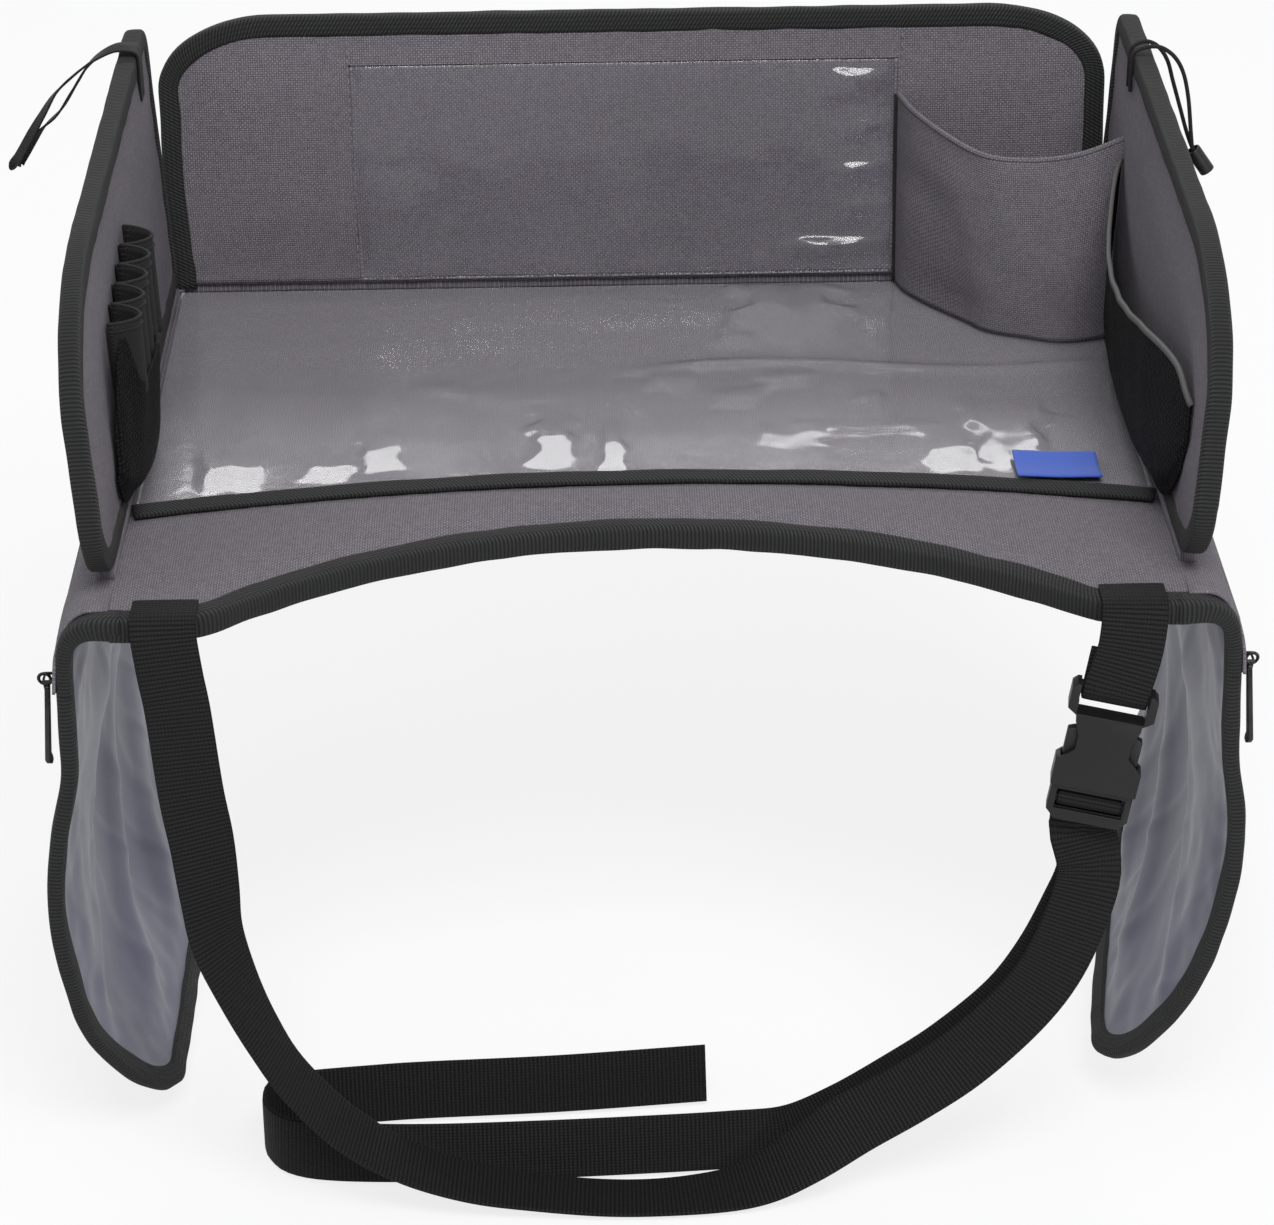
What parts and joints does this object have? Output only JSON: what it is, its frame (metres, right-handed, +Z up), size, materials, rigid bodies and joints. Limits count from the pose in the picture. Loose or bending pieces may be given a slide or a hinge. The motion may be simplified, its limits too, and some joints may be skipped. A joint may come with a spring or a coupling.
{
  "type": "kids travel tray",
  "caption": "Soft padded lap tray with three upright walls, clear and mesh pockets, pen loops, two hanging zip flaps and a buckled webbing strap.",
  "frame": {"origin": "middle of the tray's flat underside, where it rests on the lap", "axes": "+X to the user's right, +Y away from the child towards the back wall, +Z up"},
  "size_m": [0.5139, 0.3772, 0.3821],
  "materials": {
    "canvas": "fine grey woven polyester canvas, matte",
    "padded_canvas": "fine grey woven polyester canvas over foam, matte",
    "binding": "black ribbed polyester binding tape, matte",
    "lining": "blue grey nylon lining, soft sheen",
    "mesh_fabric": "black knitted mesh, matte",
    "elastic": "black woven elastic, matte",
    "mesh_hem": "grey rolled elastic hem",
    "webbing": "black polypropylene webbing with cross ribs",
    "clear_sheet": "clear soft PVC sheet, glossy with wrinkles",
    "board": "stiffening board, hidden",
    "buckle_plastic": "black moulded acetal, satin",
    "zip_metal": "black enamelled zip slider",
    "zip_tape": "black zip tape with coil",
    "label": "plain blue woven label"
  },
  "bodies": {
    "tray": {"tray_bottom_cover": "canvas", "tray_board": "board", "tray_top_pad": "padded_canvas", "tray_front_binding": "binding", "tray_clear_pocket": "clear_sheet", "clear_pocket_binding": "binding", "label_tab": "label", "left_hinge_tape": "canvas", "right_hinge_tape": "canvas", "back_hinge_tape": "canvas", "back_wall_pad": "padded_canvas", "back_wall_board": "board", "back_wall_cover": "canvas", "back_wall_binding": "binding", "back_clear_pocket": "clear_sheet", "corner_pocket": "canvas", "left_shoulder": "canvas", "right_shoulder": "canvas", "buckle_socket": "buckle_plastic", "buckle_plug": "buckle_plastic", "main_strap": "webbing", "strap_tail": "webbing", "short_strap": "webbing"},
    "left_wall": {"left_wall_pad": "padded_canvas", "left_wall_board": "board", "left_wall_cover": "canvas", "left_wall_binding": "binding", "left_mesh_pocket": "mesh_fabric", "left_pen_loops": "elastic", "left_elastic_loop": "elastic"},
    "right_wall": {"right_wall_pad": "padded_canvas", "right_wall_board": "board", "right_wall_cover": "canvas", "right_wall_binding": "binding", "right_mesh_pocket": "mesh_fabric", "right_mesh_hem": "mesh_hem", "right_elastic_cord": "elastic", "cord_toggle": "buckle_plastic"},
    "left_flap": {"left_flap_canvas": "canvas", "left_flap_lining": "lining", "left_flap_binding": "binding", "left_zip_tape": "zip_tape"},
    "right_flap": {"right_flap_canvas": "canvas", "right_flap_lining": "lining", "right_flap_binding": "binding", "right_zip_tape": "zip_tape"},
    "left_slider": {"left_zip_slider": "zip_metal"},
    "right_slider": {"right_zip_slider": "zip_metal"},
    "left_pull": {"left_zip_pull": "zip_metal"},
    "right_pull": {"right_zip_pull": "zip_metal"},
    "buckle_left_arm": {"buckle_left_arm": "buckle_plastic"},
    "buckle_right_arm": {"buckle_right_arm": "buckle_plastic"}
  },
  "joints": [
    {"name": "left_wall_fold", "type": "hinge", "parent": "tray", "child": "left_wall", "pos_m": [-0.2035, 0, 0.015], "axis": [0, 1, 0], "range_deg": [0, 78]},
    {"name": "right_wall_fold", "type": "hinge", "parent": "tray", "child": "right_wall", "pos_m": [0.2035, 0, 0.015], "axis": [0, -1, 0], "range_deg": [0, 78], "deforming": ["corner_pocket"]},
    {"name": "left_flap_swing", "type": "hinge", "parent": "tray", "child": "left_flap", "pos_m": [-0.2215, 0, 0.0065], "axis": [0, 1, 0], "range_deg": [-50, 95]},
    {"name": "right_flap_swing", "type": "hinge", "parent": "tray", "child": "right_flap", "pos_m": [0.2215, 0, 0.0065], "axis": [0, -1, 0], "range_deg": [-50, 95]},
    {"name": "left_zip_slide", "type": "slide", "parent": "left_flap", "child": "left_slider", "axis": [0, 1, 0], "range_m": [0, 0.27]},
    {"name": "right_zip_slide", "type": "slide", "parent": "right_flap", "child": "right_slider", "axis": [0, 1, 0], "range_m": [0, 0.27]},
    {"name": "left_pull_swing", "type": "hinge", "parent": "left_slider", "child": "left_pull", "pos_m": [-0.23202, -0.147, -0.027], "axis": [0, 1, 0], "range_deg": [0, 150]},
    {"name": "right_pull_swing", "type": "hinge", "parent": "right_slider", "child": "right_pull", "pos_m": [0.23204, -0.147, -0.027], "axis": [0, -1, 0], "range_deg": [0, 150]},
    {"name": "buckle_left_press", "type": "hinge", "parent": "tray", "child": "buckle_left_arm", "pos_m": [0.15845, -0.17777, -0.06261], "axis": [0.12, 0.9925, -0.0212], "range_deg": [0, 6], "stiffness_Nm_per_rad": 1},
    {"name": "buckle_right_press", "type": "hinge", "parent": "tray", "child": "buckle_right_arm", "pos_m": [0.17819, -0.18023, -0.0661], "axis": [-0.12, -0.9925, 0.0212], "range_deg": [0, 6], "stiffness_Nm_per_rad": 1}
  ]
}
